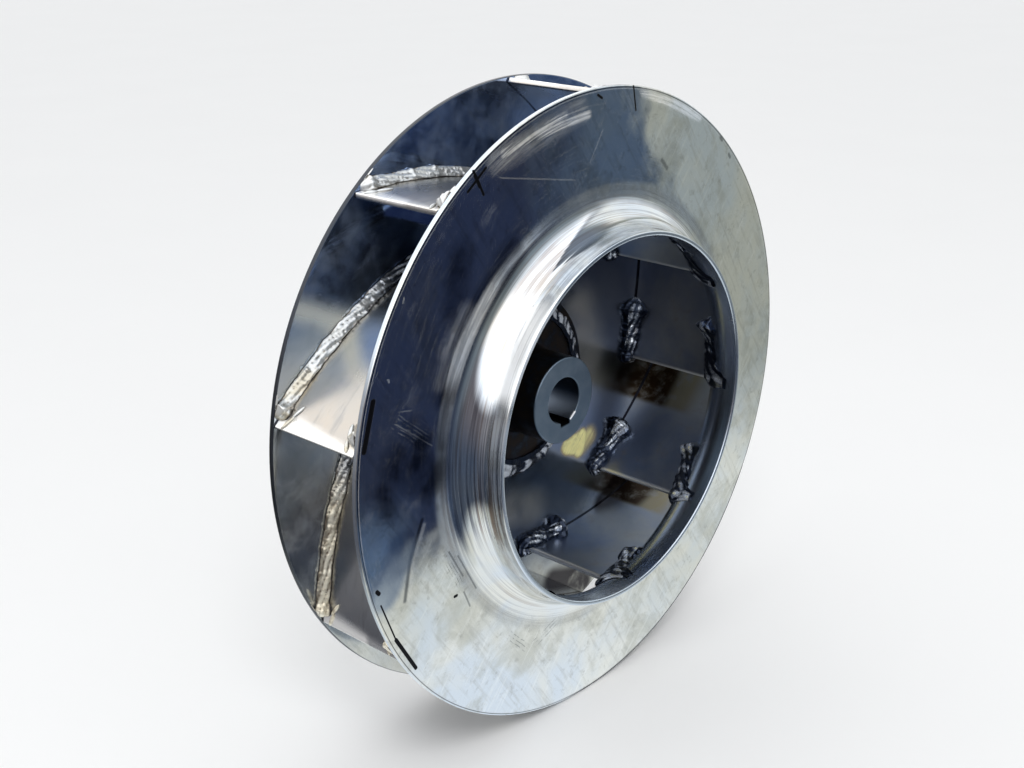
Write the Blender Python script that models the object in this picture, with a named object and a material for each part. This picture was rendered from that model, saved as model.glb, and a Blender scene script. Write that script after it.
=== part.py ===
# Centrifugal fan wheel of welded stainless sheet: back plate, nine backward-curved blades,
# front shroud with a spun inlet neck, turned hub with a keyed bore on a disc, and the welds.
# Metres, +Z up. The wheel's axis is Y and its inlet faces -Y. The origin is the centre of the
# hub's rear face. An angle in the wheel's plane starts at +Z and grows anticlockwise as seen
# from the inlet.

import math

import bmesh
import bpy

# Clearance between pieces that touch on the real wheel
GAP = 0.0003

# Whole wheel
WHEEL_RADIUS = 0.315
WHEEL_SEGMENTS = 96

# Back plate
BACK_PLATE_REAR_Y = -0.004
BACK_PLATE_THICKNESS = 0.005
BACK_PLATE_FRONT_Y = BACK_PLATE_REAR_Y - BACK_PLATE_THICKNESS

# Front shroud: a slightly conical ring that turns through a round fillet into a short neck
SHROUD_RIM_Y = -0.117
SHROUD_THICKNESS = 0.005
SHROUD_CONE_ANGLE = math.radians(1.74)
NECK_OUTER_RADIUS = 0.186
NECK_LIP_Y = -0.162
NECK_FILLET_RADIUS = 0.030
NECK_FILLET_STEPS = 6

# Hub disc: the thick ring on the front of the back plate that the hub is welded to
HUB_DISC_RADIUS = 0.0985
HUB_DISC_THICKNESS = 0.0075
HUB_DISC_REAR_Y = BACK_PLATE_FRONT_Y - GAP
HUB_DISC_FRONT_Y = HUB_DISC_REAR_Y - HUB_DISC_THICKNESS

# Hub: spigot through the back plate, flange on the disc, boss, and a bore with a keyway
HUB_FRONT_Y = -0.077
HUB_BOSS_RADIUS = 0.045
HUB_FLANGE_RADIUS = 0.076
HUB_FLANGE_THICKNESS = 0.0055
HUB_FILLET_RADIUS = 0.006
HUB_CHAMFER = 0.0015
HUB_SEGMENTS = 48
BORE_RADIUS = 0.024
BORE_CHAMFER = 0.001
KEYWAY_WIDTH = 0.014
KEYWAY_DEPTH = 0.0038
KEYWAY_ANGLE = math.radians(-175.0)

# Blades: each is one arc of a circle in the wheel's plane, bulging away from the axis
BLADE_COUNT = 9
BLADE_THICKNESS = 0.005
BLADE_LEAD_RADIUS = 0.193
BLADE_TIP_RADIUS = 0.3125
BLADE_SWEEP = math.radians(57.0)
BLADE_ARC_RADIUS = 0.480
BLADE_STEPS = 20
FIRST_LEAD_ANGLE = math.radians(-15.4)

# Weld beads: a fillet along each blade's outer face, round its leading edge and a little way
# along its inner face, at both plates. The inner steps are in steps of the blade's length.
WELD_LEG = 0.008
WELD_WRAP_LEG = 0.0035
WELD_WRAP_STEPS = 6
WELD_CROWN = 0.58
WELD_TIP_STOP = 0.0125
WELD_INNER_LEG = 0.006
WELD_INNER_STEPS = (0.25, 0.5, 1.0, 1.5, 2.0, 3.0, 4.0)
HUB_WELD_LEG = 0.014
HUB_WELD_HEIGHT = 0.0055
HUB_REAR_WELD_LEG = 0.0035
HUB_REAR_WELD_HEIGHT = 0.0028


def clear_scene():
    """Remove every object that the file starts with."""
    for item in list(bpy.data.objects):
        bpy.data.objects.remove(item, do_unlink=True)


def make_material(name, colour, roughness):
    """A metal with one colour and roughness."""
    material = bpy.data.materials.new(name)
    material.use_nodes = True
    shader = material.node_tree.nodes["Principled BSDF"]
    shader.inputs["Base Color"].default_value = (*colour, 1.0)
    shader.inputs["Metallic"].default_value = 1.0
    shader.inputs["Roughness"].default_value = roughness
    return material


def wheel_point(radius, angle, y):
    """A point given by its radius and its angle in the wheel's plane."""
    return (-radius * math.sin(angle), y, radius * math.cos(angle))


def add_object(name, mesh_data, material, sharp_angle=math.radians(35.0)):
    """Turn a bmesh into a named object with outward faces and smooth shading."""
    bmesh.ops.recalc_face_normals(mesh_data, faces=mesh_data.faces[:])
    mesh = bpy.data.meshes.new(name)
    mesh_data.to_mesh(mesh)
    mesh_data.free()
    mesh.shade_smooth()
    mesh.set_sharp_from_angle(angle=sharp_angle)
    mesh.materials.append(material)
    item = bpy.data.objects.new(name, mesh)
    bpy.context.scene.collection.objects.link(item)
    return item


def turned_ring(name, profile, segments, material):
    """Turn a closed outline of (radius, y) points about the wheel's axis."""
    mesh_data = bmesh.new()
    rings = []
    for step in range(segments):
        angle = 2.0 * math.pi * step / segments
        rings.append([mesh_data.verts.new(wheel_point(radius, angle, y)) for radius, y in profile])
    for step in range(segments):
        here = rings[step]
        after = rings[(step + 1) % segments]
        for side in range(len(profile)):
            other = (side + 1) % len(profile)
            mesh_data.faces.new((here[side], here[other], after[other], after[side]))
    return add_object(name, mesh_data, material)


def swept_solid(name, sections, material):
    """Join a row of closed sections, each with the same number of points, into one solid."""
    mesh_data = bmesh.new()
    loops = [[mesh_data.verts.new(point) for point in section] for section in sections]
    count = len(sections[0])
    for here, after in zip(loops, loops[1:]):
        for side in range(count):
            other = (side + 1) % count
            mesh_data.faces.new((here[side], here[other], after[other], after[side]))
    mesh_data.faces.new(loops[0])
    mesh_data.faces.new(reversed(loops[-1]))
    return add_object(name, mesh_data, material)


def arc_points(centre, radius, start, end, steps):
    """Points on an arc in the (radius, y) plane, both ends included."""
    points = []
    for step in range(steps + 1):
        angle = start + (end - start) * step / steps
        points.append((centre[0] + radius * math.cos(angle), centre[1] + radius * math.sin(angle)))
    return points


# The neck's fillet is a circle that touches the neck and the cone on their outer faces
FILLET_CENTRE_RADIUS = NECK_OUTER_RADIUS + NECK_FILLET_RADIUS
FILLET_CENTRE_Y = (
    SHROUD_RIM_Y
    - math.tan(SHROUD_CONE_ANGLE) * (WHEEL_RADIUS - FILLET_CENTRE_RADIUS)
    - NECK_FILLET_RADIUS / math.cos(SHROUD_CONE_ANGLE)
)
INNER_FILLET_RADIUS = NECK_FILLET_RADIUS + SHROUD_THICKNESS
CONE_TOUCH_ANGLE = math.pi / 2.0 + SHROUD_CONE_ANGLE
INNER_TOUCH_RADIUS = FILLET_CENTRE_RADIUS + INNER_FILLET_RADIUS * math.cos(CONE_TOUCH_ANGLE)


def shroud_inner_y(radius):
    """Height of the shroud's inner face, which the blades and their welds meet."""
    if radius >= INNER_TOUCH_RADIUS:
        outer_face = SHROUD_RIM_Y - math.tan(SHROUD_CONE_ANGLE) * (WHEEL_RADIUS - radius)
        return outer_face + SHROUD_THICKNESS / math.cos(SHROUD_CONE_ANGLE)
    reach = FILLET_CENTRE_RADIUS - radius
    return FILLET_CENTRE_Y + math.sqrt(INNER_FILLET_RADIUS**2 - reach**2)


def make_back_plate(material):
    hole_radius = HUB_BOSS_RADIUS + GAP
    profile = [
        (hole_radius, BACK_PLATE_REAR_Y),
        (WHEEL_RADIUS, BACK_PLATE_REAR_Y),
        (WHEEL_RADIUS, BACK_PLATE_FRONT_Y),
        (hole_radius, BACK_PLATE_FRONT_Y),
    ]
    return turned_ring("back_plate", profile, WHEEL_SEGMENTS, material)


def make_hub_disc(material):
    hole_radius = HUB_BOSS_RADIUS + GAP
    profile = [
        (hole_radius, HUB_DISC_REAR_Y),
        (HUB_DISC_RADIUS, HUB_DISC_REAR_Y),
        (HUB_DISC_RADIUS, HUB_DISC_FRONT_Y),
        (hole_radius, HUB_DISC_FRONT_Y),
    ]
    return turned_ring("hub_disc", profile, HUB_SEGMENTS, material)


def make_front_shroud(material):
    centre = (FILLET_CENTRE_RADIUS, FILLET_CENTRE_Y)
    neck_side = math.pi
    outer = arc_points(centre, NECK_FILLET_RADIUS, CONE_TOUCH_ANGLE, neck_side, NECK_FILLET_STEPS)
    inner = arc_points(centre, INNER_FILLET_RADIUS, neck_side, CONE_TOUCH_ANGLE, NECK_FILLET_STEPS)
    neck_inner_radius = NECK_OUTER_RADIUS - SHROUD_THICKNESS
    profile = [(WHEEL_RADIUS, SHROUD_RIM_Y)]
    profile += outer
    profile += [(NECK_OUTER_RADIUS, NECK_LIP_Y), (neck_inner_radius, NECK_LIP_Y)]
    profile += inner
    profile += [(WHEEL_RADIUS, shroud_inner_y(WHEEL_RADIUS))]
    return turned_ring("front_shroud", profile, WHEEL_SEGMENTS, material)


def make_hub(material):
    flange_rear = HUB_DISC_FRONT_Y - GAP
    flange_front = flange_rear - HUB_FLANGE_THICKNESS
    fillet_centre = (HUB_BOSS_RADIUS + HUB_FILLET_RADIUS, flange_front - HUB_FILLET_RADIUS)
    profile = [
        (BORE_RADIUS + BORE_CHAMFER, 0.0),
        (HUB_BOSS_RADIUS - BORE_CHAMFER, 0.0),
        (HUB_BOSS_RADIUS, -BORE_CHAMFER),
        (HUB_BOSS_RADIUS, flange_rear),
        (HUB_FLANGE_RADIUS, flange_rear),
        (HUB_FLANGE_RADIUS, flange_front),
    ]
    profile += arc_points(fillet_centre, HUB_FILLET_RADIUS, math.pi / 2.0, math.pi, 4)
    profile += [
        (HUB_BOSS_RADIUS, HUB_FRONT_Y + HUB_CHAMFER),
        (HUB_BOSS_RADIUS - HUB_CHAMFER, HUB_FRONT_Y),
        (BORE_RADIUS + BORE_CHAMFER, HUB_FRONT_Y),
        (BORE_RADIUS, HUB_FRONT_Y + BORE_CHAMFER),
        (BORE_RADIUS, -BORE_CHAMFER),
    ]
    hub = turned_ring("hub", profile, HUB_SEGMENTS, material)
    cutter = make_keyway_cutter(material)
    cut = hub.modifiers.new("keyway", "BOOLEAN")
    cut.operation = "DIFFERENCE"
    cut.solver = "EXACT"
    cut.object = cutter
    return hub


def make_keyway_cutter(material):
    """The bar that cuts the keyway. It starts inside the bore and passes both hub faces."""
    inner = BORE_RADIUS / 2.0
    outer = BORE_RADIUS + KEYWAY_DEPTH
    half = KEYWAY_WIDTH / 2.0
    margin = 0.002
    sections = []
    for y in (HUB_FRONT_Y - margin, margin):
        section = []
        for along, across in ((inner, -half), (outer, -half), (outer, half), (inner, half)):
            radius = math.hypot(along, across)
            section.append(wheel_point(radius, KEYWAY_ANGLE + math.atan2(across, along), y))
        sections.append(section)
    cutter = swept_solid("keyway_cutter", sections, material)
    cutter.hide_render = True
    cutter.display_type = "WIRE"
    return cutter


def make_hub_welds(material):
    """The round bead at the flange's edge and the small one round the spigot at the rear."""
    inner = HUB_FLANGE_RADIUS + GAP
    base = HUB_DISC_FRONT_Y - GAP
    front = [
        (inner, base),
        (inner + HUB_WELD_LEG, base),
        (inner + WELD_CROWN * HUB_WELD_LEG, base - WELD_CROWN * HUB_WELD_HEIGHT),
        (inner, base - HUB_WELD_HEIGHT),
    ]
    turned_ring("hub_weld_front", front, HUB_SEGMENTS, material)
    inner = HUB_BOSS_RADIUS + GAP
    base = BACK_PLATE_REAR_Y + GAP
    rear = [
        (inner, base),
        (inner + HUB_REAR_WELD_LEG, base),
        (inner + WELD_CROWN * HUB_REAR_WELD_LEG, base + WELD_CROWN * HUB_REAR_WELD_HEIGHT),
        (inner, base + HUB_REAR_WELD_HEIGHT),
    ]
    turned_ring("hub_weld_rear", rear, HUB_SEGMENTS, material)


class BladePlan:
    """One blade's arc in the wheel's plane, with its leading end at angle 0."""

    def __init__(self):
        lead = (BLADE_LEAD_RADIUS, 0.0)
        tip = (BLADE_TIP_RADIUS * math.cos(BLADE_SWEEP), BLADE_TIP_RADIUS * math.sin(BLADE_SWEEP))
        chord = math.dist(lead, tip)
        along = ((tip[0] - lead[0]) / chord, (tip[1] - lead[1]) / chord)
        outward = (along[1], -along[0])
        depth = math.sqrt(BLADE_ARC_RADIUS**2 - (chord / 2.0) ** 2)
        self.centre = (
            (lead[0] + tip[0]) / 2.0 - outward[0] * depth,
            (lead[1] + tip[1]) / 2.0 - outward[1] * depth,
        )
        self.start = math.atan2(lead[1] - self.centre[1], lead[0] - self.centre[0])
        self.length = BLADE_ARC_RADIUS * 2.0 * math.asin(chord / 2.0 / BLADE_ARC_RADIUS)

    def polar(self, distance, offset):
        """Radius and angle of a point, by its distance along the arc and offset outward."""
        turn = self.start + distance / BLADE_ARC_RADIUS
        along = self.centre[0] + (BLADE_ARC_RADIUS + offset) * math.cos(turn)
        across = self.centre[1] + (BLADE_ARC_RADIUS + offset) * math.sin(turn)
        return math.hypot(along, across), math.atan2(across, along)


def make_blade(name, plan, lead_angle, material):
    """A plate of even thickness whose front edge follows the shroud."""
    half = BLADE_THICKNESS / 2.0
    rear_y = BACK_PLATE_FRONT_Y - GAP
    sections = []
    for step in range(BLADE_STEPS + 1):
        distance = plan.length * step / BLADE_STEPS
        radius_in, angle_in = plan.polar(distance, -half)
        radius_out, angle_out = plan.polar(distance, half)
        sections.append(
            [
                wheel_point(radius_in, lead_angle + angle_in, rear_y),
                wheel_point(radius_out, lead_angle + angle_out, rear_y),
                wheel_point(radius_out, lead_angle + angle_out, shroud_inner_y(radius_out) + GAP),
                wheel_point(radius_in, lead_angle + angle_in, shroud_inner_y(radius_in) + GAP),
            ]
        )
    return swept_solid(name, sections, material)


def weld_path(plan):
    """Places of a bead round a blade: distance, offset, and the way that its foot spreads."""
    side = BLADE_THICKNESS / 2.0 + GAP
    step_length = plan.length / BLADE_STEPS
    path = [(plan.length - WELD_TIP_STOP, side, 0.0, WELD_LEG)]
    for step in range(BLADE_STEPS - 1, 0, -1):
        path.append((step * step_length, side, 0.0, WELD_LEG))
    for step in range(WELD_WRAP_STEPS + 1):
        share = 1.0 - 2.0 * step / WELD_WRAP_STEPS
        path.append((-GAP, share * side, -WELD_WRAP_LEG, share * WELD_WRAP_LEG))
    for step in WELD_INNER_STEPS:
        path.append((step * step_length, -side, 0.0, -WELD_INNER_LEG))
    return path


def make_back_weld(name, plan, lead_angle, material):
    """The bead between a blade and the flat back plate."""
    base_y = BACK_PLATE_FRONT_Y - GAP
    sections = []
    for distance, offset, spread_along, spread_out in weld_path(plan):
        leg = max(abs(spread_along), abs(spread_out))
        section = []
        for share, height in ((0.0, 0.0), (1.0, 0.0), (WELD_CROWN, WELD_CROWN), (0.0, 1.0)):
            radius, angle = plan.polar(distance + share * spread_along, offset + share * spread_out)
            section.append(wheel_point(radius, lead_angle + angle, base_y - height * leg))
        sections.append(section)
    return swept_solid(name, sections, material)


def make_shroud_weld(name, plan, lead_angle, material):
    """The bead between a blade and the curved inner face of the shroud."""
    foot = [(0.0, 0.0), (0.5, 0.0), (1.0, 0.0)]
    outline = foot + [(WELD_CROWN, WELD_CROWN), (0.0, 1.0)]
    sections = []
    for distance, offset, spread_along, spread_out in weld_path(plan):
        leg = max(abs(spread_along), abs(spread_out))
        section = []
        for share, height in outline:
            radius, angle = plan.polar(distance + share * spread_along, offset + share * spread_out)
            y = shroud_inner_y(radius) + GAP + height * leg
            section.append(wheel_point(radius, lead_angle + angle, y))
        sections.append(section)
    return swept_solid(name, sections, material)


def main():
    clear_scene()
    polished_sheet = make_material("polished_sheet", (0.60, 0.62, 0.64), 0.22)
    blade_sheet = make_material("blade_sheet", (0.58, 0.60, 0.62), 0.28)
    turned_steel = make_material("turned_steel", (0.42, 0.46, 0.50), 0.45)
    weld_metal = make_material("weld_metal", (0.66, 0.65, 0.62), 0.35)
    make_back_plate(polished_sheet)
    make_front_shroud(polished_sheet)
    make_hub_disc(turned_steel)
    make_hub(turned_steel)
    make_hub_welds(weld_metal)
    plan = BladePlan()
    for index in range(BLADE_COUNT):
        lead_angle = FIRST_LEAD_ANGLE + 2.0 * math.pi * index / BLADE_COUNT
        number = index + 1
        make_blade(f"blade_{number}", plan, lead_angle, blade_sheet)
        make_back_weld(f"back_weld_{number}", plan, lead_angle, weld_metal)
        make_shroud_weld(f"shroud_weld_{number}", plan, lead_angle, weld_metal)


main()
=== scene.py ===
# Looks of the centrifugal fan wheel: fine meshes for every piece, lumpy weld beads, polished
# and turned metal, a plain floor, soft studio light and the camera. Metres, +Z up, wheel's axis Y.

import math
import random

import bpy
import numpy as np
from mathutils import Matrix, Vector, noise


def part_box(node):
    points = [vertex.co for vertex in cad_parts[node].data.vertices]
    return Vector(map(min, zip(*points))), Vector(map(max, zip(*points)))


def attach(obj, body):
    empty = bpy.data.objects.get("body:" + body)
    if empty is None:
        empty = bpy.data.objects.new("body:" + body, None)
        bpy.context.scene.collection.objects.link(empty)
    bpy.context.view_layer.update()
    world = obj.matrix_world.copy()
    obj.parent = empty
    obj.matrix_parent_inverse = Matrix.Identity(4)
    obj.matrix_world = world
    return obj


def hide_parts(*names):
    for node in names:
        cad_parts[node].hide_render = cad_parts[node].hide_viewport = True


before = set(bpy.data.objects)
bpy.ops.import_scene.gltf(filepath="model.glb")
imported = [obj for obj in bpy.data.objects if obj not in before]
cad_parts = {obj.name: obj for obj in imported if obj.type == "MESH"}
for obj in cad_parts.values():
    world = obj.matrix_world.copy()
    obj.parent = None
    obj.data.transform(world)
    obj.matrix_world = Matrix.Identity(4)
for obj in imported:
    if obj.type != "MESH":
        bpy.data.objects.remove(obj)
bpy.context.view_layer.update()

# Sizes read from the frame
PLATE_LOW, PLATE_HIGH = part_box("back_plate")
SHROUD_LOW, SHROUD_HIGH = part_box("front_shroud")
HUB_LOW, HUB_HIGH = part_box("hub")
DISC_LOW, DISC_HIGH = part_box("hub_disc")
WHEEL_RADIUS = SHROUD_HIGH.x
BACK_FRONT_Y = PLATE_LOW.y
BACK_REAR_Y = PLATE_HIGH.y
LIP_Y = SHROUD_LOW.y
HUB_FRONT_Y = HUB_LOW.y
HUB_REAR_Y = HUB_HIGH.y
HUB_FLANGE_RADIUS = HUB_HIGH.x
HUB_DISC_RADIUS = DISC_HIGH.x
HUB_DISC_FRONT_Y = DISC_LOW.y
FLOOR_Z = SHROUD_LOW.z

# Shroud
SHEET = 0.005
SHROUD_RIM_Y = -0.117
CONE_SLOPE = math.tan(math.radians(1.74))
NECK_RADIUS = 0.186
NECK_FILLET = 0.030
RIM_ROUNDING = 0.0009
LIP_ROUNDING = 0.0018

# Waves of the polished sheets: where they start, and over what distance they grow
SHROUD_WAVES_FROM = 0.205
PLATE_WAVES_FROM = 0.105
WAVES_GROW_OVER = 0.03

# Hub
HUB_BOSS_RADIUS = 0.045
HUB_FLANGE_THICKNESS = 0.0055
HUB_FILLET = 0.006
HUB_CHAMFER = 0.0015
HUB_ROUNDING = 0.0010
FLANGE_ROUNDING = 0.0004
DISC_ROUNDING = 0.0016
BORE_RADIUS = 0.024
KEYWAY_WIDTH = 0.014
KEYWAY_DEPTH = 0.0038
KEYWAY_ANGLE = math.radians(-175.0)

# Blades
BLADE_COUNT = 9
BLADE_HALF = 0.0025
BLADE_LEAD_RADIUS = 0.193
BLADE_TIP_RADIUS = 0.3125
BLADE_SWEEP = math.radians(57.0)
BLADE_ARC_RADIUS = 0.480
FIRST_LEAD_ANGLE = math.radians(-15.4)
BLADE_PITCH = 2.0 * math.pi / BLADE_COUNT
BLADE_EDGE_ROUNDING = 0.0006
BLADE_STEPS = 66
BLADE_WAVE = 0.00022
BLADE_GAP = 0.0001

# Painted highlight along a blade's outer end: its width, and how much wider it is by the back
# plate.
# On all blades but one it fades over the part that is nearer to the shroud.
BLADE_GLARE = 0.006
BLADE_GLARE_SPREAD = 0.016
GLARE_FADES_FROM = 0.60
FADED_GLARE = 0.45
EVEN_GLARE_BLADE = 1

# Weld beads: legs on the outer side, round the leading end and on the short inner stitch
BEAD_LEG = 0.0090
BEAD_WRAP_LEG = 0.0070
BEAD_INNER_LEG = 0.0112
BEAD_END_LEG = 0.0190
BEAD_TIP_STOP = 0.0065
BEAD_INNER_LENGTH = 0.069
BEAD_SECTION_SPACING = 0.0007
BEAD_PITCH = 0.0064
BEAD_POINTS = 13
BEAD_ROUNDNESS = 1.30
BEAD_SUNK = 0.0004
BEAD_RIM_GAP = 0.0004
STRAND_LENGTH = 0.024
STRANDS_ACROSS = 2.6
KNOB_SPACING = 0.022

# Round beads on the hub; the front one is wider near one angle
HUB_BEAD_LEG = 0.0145
HUB_BEAD_HEIGHT = 0.0078
HUB_BEAD_PITCH = 0.0085
HUB_BEAD_WIDEST = math.radians(165.0)
HUB_BEAD_EXTRA = 0.34
HUB_BEAD_EDGE_GAP = 0.0006
HUB_REAR_BEAD_LEG = 0.0034
HUB_REAR_BEAD_HEIGHT = 0.0030
HUB_REAR_BEAD_PITCH = 0.0034
HUB_BEAD_SECTION_SPACING = 0.0009

# Splashes beside a bead's outer end: way back from the blade's tip, way aside from the corner,
# whether it lies on the blade, and tilt
SPLASHES = (
    (0.015, 0.0165, False, 0.08),
    (0.019, 0.0180, True, 0.50),
    (0.007, 0.0135, True, 0.50),
)
SPLASH_ROWS = 7
SPLASH_COLUMNS = 10

# Fineness of the meshes
RING_SEGMENTS = 288
HUB_RING_SEGMENTS = 144
PROFILE_SPACING = 0.0045
SHARP_ANGLE = math.radians(50.0)
HUB_SHARP_ANGLE = math.radians(40.0)

# Camera, lamp and studio
CAMERA_PLACE = Vector((-1.00657, -0.91599, 0.50470))
CAMERA_FORWARD = Vector((0.69544, 0.62838, -0.34857))
CAMERA_LENS = 49.19
SENSOR_WIDTH = 36.0
LAMP_PLACE = Vector((-1.5, -1.6, 2.4))
LAMP_SIZE = 1.2
LAMP_POWER = 30.0
FLOOR_REACH = 40.0
STUDIO_TONE = (0.93, 0.94, 0.95)
ROOM_STRENGTH = 2.0

# Marks on the metal are lines in the wheel's plane. Each starts with the radius and degrees of
# its two ends. Its half width and softness follow, or a strip's width and pitch for scratches.
SCORED_DARK = (
    (0.2227, 109.6, 0.2195, 118.8, 0.0003, 0.0012),
    (0.2152, 112.6, 0.2154, 125.5, 0.0002, 0.0012),
    (0.2272, 122.7, 0.2311, 127.5, 0.0003, 0.0012),
    (0.2474, -24.2, 0.2525, -21.6, 0.0006, 0.0030),
    (0.3070, -44.3, 0.3075, -43.6, 0.0008, 0.0020),
    (0.3110, -39.6, 0.3114, -38.8, 0.0008, 0.0020),
)
SCORED_LIGHT = (
    (0.2950, 68.7, 0.2934, 69.0, 0.0006, 0.0010),
    (0.3071, 55.8, 0.3060, 56.5, 0.0004, 0.0010),
    (0.2773, 76.1, 0.2305, 81.4, 0.0001, 0.0007),
)
SCORED_FAINT = (
    (0.2760, -0.1, 0.2492, 4.2, 0.0002, 0.0010),
    (0.2888, 28.6, 0.2396, 9.6, 0.0002, 0.0010),
    (0.2750, 74.0, 0.2600, 73.6, 0.0001, 0.0008),
)
SCRATCHES_LIGHT = (
    (0.3110, 67.5, 0.3150, 70.5, 0.010, 0.0026),
    (0.2343, 142.6, 0.2452, 151.0, 0.012, 0.0034),
    (0.2790, 75.6, 0.2390, 80.4, 0.016, 0.0030),
)
SCRATCHES_DARK = (
    (0.2278, 112.0, 0.2269, 119.8, 0.012, 0.0032),
    (0.2412, 157.5, 0.2189, 164.2, 0.014, 0.0042),
    (0.2343, 146.6, 0.2452, 155.0, 0.012, 0.0038),
)
# Dark pen strokes, all with the same softness
PEN_SOFTNESS = 0.0004
PEN_STROKES = (
    (0.3140, 32.8, 0.2900, 33.2, 0.0012),
    (0.3100, 32.9, 0.2990, 33.1, 0.0018),
    (0.3068, 30.4, 0.3048, 35.6, 0.0011),
    (0.3145, -8.5, 0.2925, -9.9, 0.0009),
    (0.3086, 1.2, 0.3052, 0.1, 0.0011),
    (0.3064, 105.4, 0.3050, 106.0, 0.0018),
    (0.2372, 121.2, 0.2350, 121.5, 0.0013),
    (0.3062, 72.4, 0.3082, 80.3, 0.0025),
    (0.3069, 108.3, 0.3075, 116.5, 0.0006),
    (0.3075, 116.5, 0.3076, 125.0, 0.0017),
)
# A slight fold in painted light: a dark line of painted shade, a painted highlight beside it, and a
# painted bluish reflection on its outer side
FOLD_SHADE = (
    (0.2437, 97.4, 0.2648, 104.2, 0.0002, 0.0030),
    (0.2648, 104.2, 0.2830, 111.3, 0.0004, 0.0030),
)
FOLD_LIGHT = (
    (0.2421, 98.8, 0.2633, 105.5, 0.0002, 0.0032),
    (0.2633, 105.5, 0.2815, 112.6, 0.0002, 0.0034),
)
FOLD_SIDE = (
    (0.2437, 97.4, 0.2830, 111.3, 0.0025),
)
BLUE_REFLECTION_PATCHES = (
    (0.2700, 101.0, 0.3000, 107.0, 0.0110, 0.0120),
)
# Greasy smears that light up where the sheet mirrors something dark
SMEARS = (
    (0.3040, 26.0, 0.3000, 10.0, 0.0004, 0.0070),
    (0.2960, 17.0, 0.2935, 4.0, 0.0006, 0.0060),
    (0.3112, -11.5, 0.3116, -30.0, 0.0024, 0.0060),
)
SOFT_SMEARS = (
    (0.2360, 61.0, 0.2335, 52.0, 0.0020, 0.0140),
    (0.2350, 61.0, 0.2330, 68.0, 0.0001, 0.0110),
    (0.3040, 28.0, 0.2990, 6.0, 0.0040, 0.0120),
)
# Darker places round the neck's foot and on the flat part
DULL_ARCS = (
    (0.2225, 34.0, 0.2235, 54.0, 0.0070, 0.0150),
    (0.2235, 54.0, 0.2235, 70.0, 0.0060, 0.0150),
    (0.2225, 70.0, 0.2200, 82.0, 0.0010, 0.0110),
)
DULL_PATCHES = (
    (0.2680, 84.0, 0.2340, 88.0, 0.0090, 0.0220),
    (0.2560, 78.0, 0.2440, 80.5, 0.0020, 0.0180),
    (0.2840, 88.0, 0.2800, 92.0, 0.0010, 0.0180),
    (0.2700, 44.0, 0.2500, 52.0, 0.0020, 0.0220),
)
# Heat marks, painted shade, a painted glow and wear inside the wheel
GOLDEN_PATCHES = (
    (0.1300, -138.0, 0.1530, -134.3, 0.0030, 0.0110),
    (0.1530, -134.3, 0.1455, -129.5, 0.0030, 0.0120),
    (0.1330, -137.0, 0.1440, -131.0, 0.0045, 0.0110),
)
GOLDEN_FRINGES = (
    (0.1540, -132.5, 0.1580, -127.5, 0.0040, 0.0160),
)
PALE_PATCHES = (
    (0.3140, 62.2, 0.2420, 61.5, 0.0010, 0.0190),
)
SHADE_PATCHES = (
    (0.1750, -122.0, 0.1750, -100.0, 0.0040, 0.0400),
)
WORN_PATCHES = (
    (0.1180, -60.0, 0.1250, -88.0, 0.0060, 0.0360),
    (0.1400, 178.0, 0.1550, -168.0, 0.0050, 0.0300),
)
SHADED_PASSAGE_PATCHES = (
    (0.2420, -141.0, 0.2520, -131.0, 0.0090, 0.0130),
    (0.2620, -165.5, 0.2820, -159.5, 0.0080, 0.0160),
    (0.2820, -159.5, 0.3040, -156.5, 0.0070, 0.0120),
)
SHADED_BLADE_SPOTS = (
    (0.2330, -107.0, 0.2400, -97.0, 0.0110, 0.0080),
    (0.2580, -136.0, 0.2640, -128.0, 0.0110, 0.0080),
)
# Painted highlight on the bore's edge beside the keyway
PAINTED_BORE_GLINTS = (
    (0.0252, -155.0, 0.0248, -134.0, 0.0006, 0.0006),
)


def wheel_point(radius, angle, y):
    return (-radius * math.sin(angle), y, radius * math.cos(angle))


def wobble(x, y, z):
    """Smooth noise from about -1 to 1."""
    return noise.noise(Vector((x, y, z)))


def add_object(name, data):
    """A new object in the scene."""
    made = bpy.data.objects.new(name, data)
    bpy.context.scene.collection.objects.link(made)
    return made


# Nodes

class Signal:
    """What a shader node puts out. Arithmetic with it adds math nodes, and | is the greater."""

    def __init__(self, shading, socket):
        self.shading = shading
        self.socket = socket

    def __add__(self, other):
        return self.shading.math("ADD", self, other)

    def __sub__(self, other):
        return self.shading.math("SUBTRACT", self, other)

    def __rsub__(self, other):
        return self.shading.math("SUBTRACT", other, self)

    def __mul__(self, other):
        return self.shading.math("MULTIPLY", self, other)

    def __or__(self, other):
        return self.shading.math("MAXIMUM", self, other)


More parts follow.
